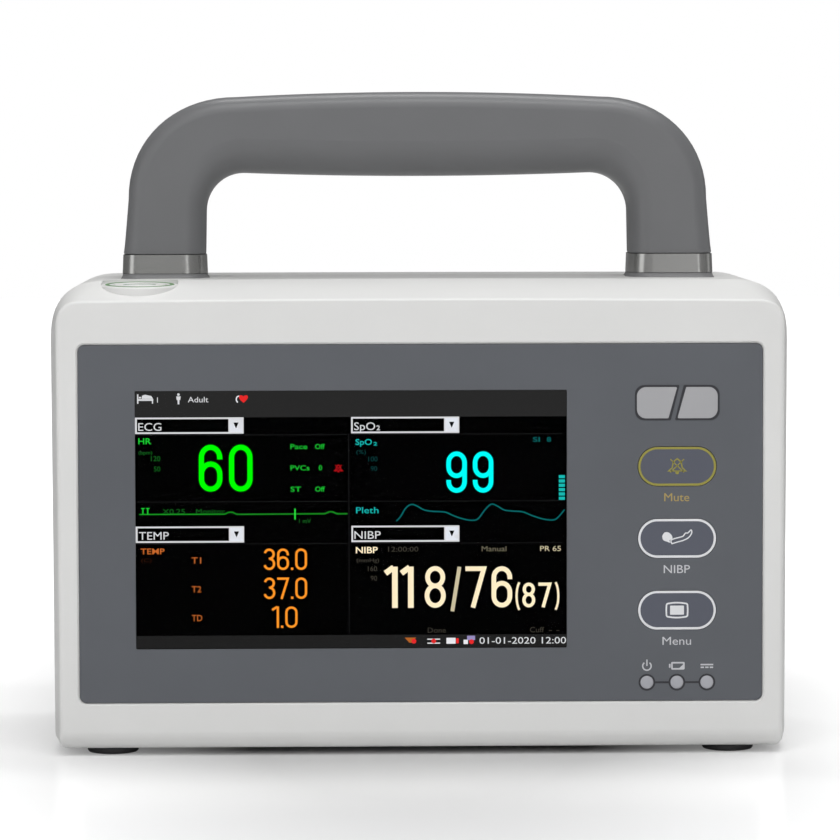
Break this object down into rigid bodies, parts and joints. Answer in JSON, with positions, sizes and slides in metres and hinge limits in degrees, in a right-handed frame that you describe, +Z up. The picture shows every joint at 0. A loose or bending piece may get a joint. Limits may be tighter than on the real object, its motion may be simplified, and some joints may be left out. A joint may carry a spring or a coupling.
{
  "type": "patient monitor",
  "caption": "Portable patient monitor: rounded light-grey box with a dark front panel, colour display, side keys, sockets and a fixed carrying handle.",
  "frame": {"origin": "on the table, under the middle of the housing", "axes": "+Z up, the display faces -Y, +X to the right as seen by the reader of the display"},
  "size_m": [0.1868, 0.088, 0.167],
  "materials": {
    "housing_plastic": "fine spark texture, light warm grey",
    "panel_film": "satin printed overlay, blue-grey",
    "display_glass": "smooth, unbroken with the overlay",
    "lcd": "dark glass with a metal back",
    "key_film": "satin, same as the overlay",
    "lamp_lens": "frosted light grey",
    "white_plastic": "satin white",
    "light_guide": "frosted grey",
    "handle_plastic": "soft-touch dark grey, fine texture",
    "foot_plastic": "satin dark grey",
    "collar_metal": "satin, brushed around",
    "bright_steel": "zinc plated",
    "sheet_metal": "rolled sheet",
    "rubber": "matte black",
    "silicone": "matte translucent grey",
    "circuit_board": "solder mask green",
    "dark_plastic": "satin charcoal",
    "green_plastic": "satin green",
    "blue_plastic": "satin blue",
    "brown_plastic": "satin brown",
    "red_plastic": "satin red",
    "gold_contact": "gold flash",
    "battery_shell": "satin dark grey",
    "ivory_plastic": "machined ivory block",
    "flex_film": "amber polyimide",
    "pump_metal": "cast can"
  },
  "bodies": {
    "monitor": {"front_housing": "housing_plastic", "rear_cover": "housing_plastic", "housing_gasket": "rubber", "front_panel": "panel_film", "touch_glass": "display_glass", "display_gasket": "rubber", "lcd_panel": "lcd", "lcd_frame": "sheet_metal", "keypad_mat": "silicone", "keypad_board": "circuit_board", "alarm_lens_left": "lamp_lens", "alarm_lens_right": "lamp_lens", "alarm_board": "circuit_board", "indicator_lenses": "lamp_lens", "power_light_ring": "light_guide", "power_spring": "bright_steel", "power_switch": "circuit_board", "handle_grip": "handle_plastic", "handle_core": "sheet_metal", "collar_left": "collar_metal", "collar_right": "collar_metal", "handle_foot_left": "foot_plastic", "handle_foot_right": "foot_plastic", "handle_screws": "bright_steel", "connector_panel": "dark_plastic", "ecg_socket": "green_plastic", "spo2_socket": "blue_plastic", "temp_sockets": "brown_plastic", "ibp_sockets": "red_plastic", "nibp_port": "bright_steel", "door_hinge_pins": "bright_steel", "battery_bay": "dark_plastic", "battery_pack": "battery_shell", "battery_contacts": "gold_contact", "flap_hinge_pin": "bright_steel", "multi_port": "dark_plastic", "rear_mount_plate": "sheet_metal", "plate_screws": "bright_steel", "case_screws": "bright_steel", "rubber_feet": "rubber", "chassis": "sheet_metal", "main_board": "circuit_board", "heatsink": "sheet_metal", "shield_can": "sheet_metal", "power_board": "circuit_board", "parameter_board": "circuit_board", "nibp_pump": "pump_metal", "pump_bracket": "dark_plastic", "nibp_manifold": "ivory_plastic", "nibp_valves": "gold_contact", "air_tube": "silicone", "speaker": "dark_plastic", "display_cable": "flex_film"},
    "mute_key": {"mute_key": "key_film"},
    "nibp_key": {"nibp_key": "key_film"},
    "menu_key": {"menu_key": "key_film"},
    "power_button": {"power_button": "white_plastic"},
    "battery_door": {"battery_door": "housing_plastic"},
    "door_lock": {"door_lock": "dark_plastic"},
    "port_flap": {"port_flap": "dark_plastic"}
  },
  "joints": [
    {"name": "mute_press", "type": "slide", "parent": "monitor", "child": "mute_key", "axis": [0, 1, 0], "range_m": [0, 0.0008], "stiffness_N_per_m": 1200, "springref_m": -0.001},
    {"name": "nibp_press", "type": "slide", "parent": "monitor", "child": "nibp_key", "axis": [0, 1, 0], "range_m": [0, 0.0008], "stiffness_N_per_m": 1200, "springref_m": -0.001},
    {"name": "menu_press", "type": "slide", "parent": "monitor", "child": "menu_key", "axis": [0, 1, 0], "range_m": [0, 0.0008], "stiffness_N_per_m": 1200, "springref_m": -0.001},
    {"name": "power_press", "type": "slide", "parent": "monitor", "child": "power_button", "axis": [0, 0, -1], "range_m": [0, 0.0012], "stiffness_N_per_m": 900, "springref_m": -0.0012, "deforming": ["power_spring"]},
    {"name": "battery_door_hinge", "type": "hinge", "parent": "monitor", "child": "battery_door", "pos_m": [0.0913, 0.0145, 0.059], "axis": [0, 0, 1], "range_deg": [0, 90]},
    {"name": "door_lock_turn", "type": "hinge", "parent": "battery_door", "child": "door_lock", "pos_m": [0.0913, -0.008, 0.059], "axis": [1, 0, 0], "range_deg": [0, 90]},
    {"name": "port_flap_hinge", "type": "hinge", "parent": "monitor", "child": "port_flap", "pos_m": [0.0913, 0.0275, 0.06], "axis": [0, -1, 0], "range_deg": [0, 90]}
  ]
}
